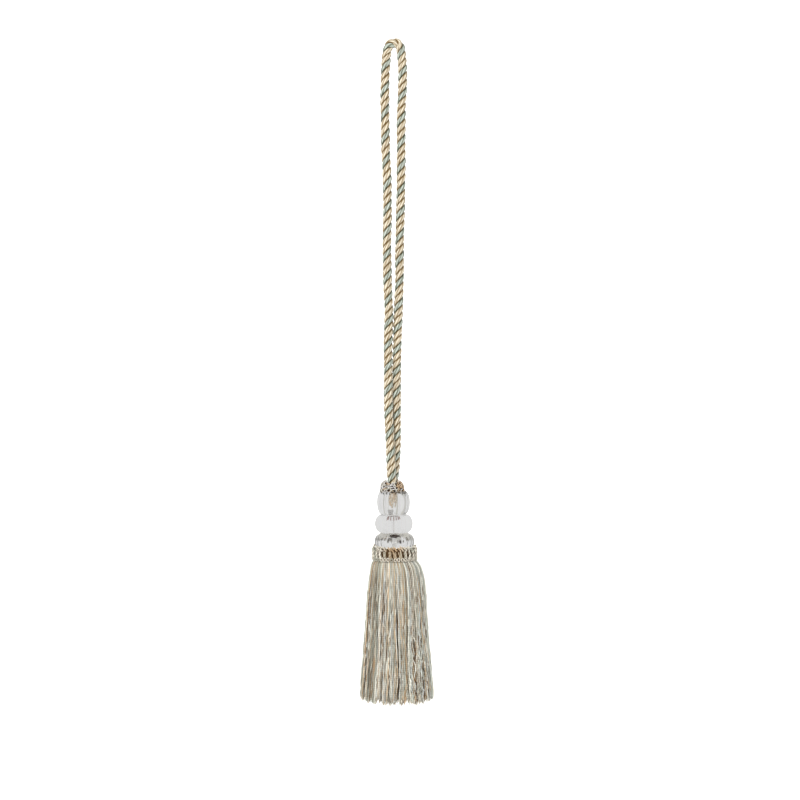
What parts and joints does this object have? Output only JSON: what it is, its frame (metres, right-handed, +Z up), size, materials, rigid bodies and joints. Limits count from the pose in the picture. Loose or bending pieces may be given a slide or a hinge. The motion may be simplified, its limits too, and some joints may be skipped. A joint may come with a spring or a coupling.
{
  "type": "curtain tieback tassel",
  "caption": "Curtain tieback tassel: long loop of twisted cord, knotted ruff, stacked clear beads, braided gimp collar and a bell of cut threads.",
  "frame": {"origin": "inner top of the cord loop, where it bears on a hook", "axes": "+Z up along the hanging tassel, -Y towards the viewer of the picture, +X to the picture's right"},
  "size_m": [0.0654, 0.0654, 0.5789],
  "materials": {
    "twisted_cord": "lustrous rayon cord, one sage strand and two gold strands",
    "gimp_braid": "knotted and braided gimp in sage, cream and tan",
    "cord_tail": "bound cord tail in gold and brown",
    "clear_acrylic": "clear moulded acrylic, polished",
    "skirt_threads": "fine lustrous threads in sage, pale blue, cream and tan"
  },
  "bodies": {
    "root": {"cord_loop": "twisted_cord", "top_rosette": "gimp_braid", "cord_core": "cord_tail", "bead_upper": "clear_acrylic", "bead_middle": "clear_acrylic", "bead_lower": "clear_acrylic", "collar": "gimp_braid", "skirt": "skirt_threads"}
  },
  "joints": []
}
